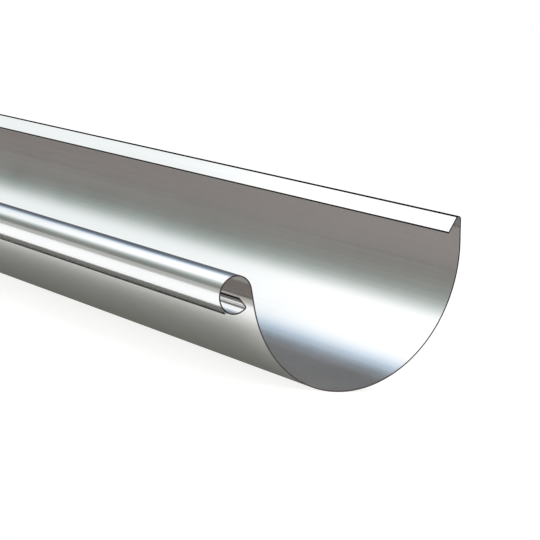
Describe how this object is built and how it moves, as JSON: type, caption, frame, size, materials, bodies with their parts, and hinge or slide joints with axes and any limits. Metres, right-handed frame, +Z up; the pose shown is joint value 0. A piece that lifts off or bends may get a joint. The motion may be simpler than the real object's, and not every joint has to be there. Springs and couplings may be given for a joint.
{
  "type": "half-round gutter section",
  "caption": "Straight length of half-round eaves gutter in bare zinc-coated steel sheet, with a rolled bead along the front and a folded lip along the rear.",
  "frame": {"origin": "on the floor under the middle of the length, at the middle of the footprint box", "axes": "+X along the gutter, +Y towards the rear edge that faces the house, +Z up; the section is rolled 11 degrees about X, bead side down, from how it hangs, because that is how the loose piece comes to rest"},
  "size_m": [2, 0.1395, 0.0884],
  "materials": {
    "zinc_coated_steel": "bare zinc-coated steel, satin, faint rolling lines along the length"
  },
  "bodies": {
    "root": {"gutter_section": "zinc_coated_steel"}
  },
  "joints": []
}
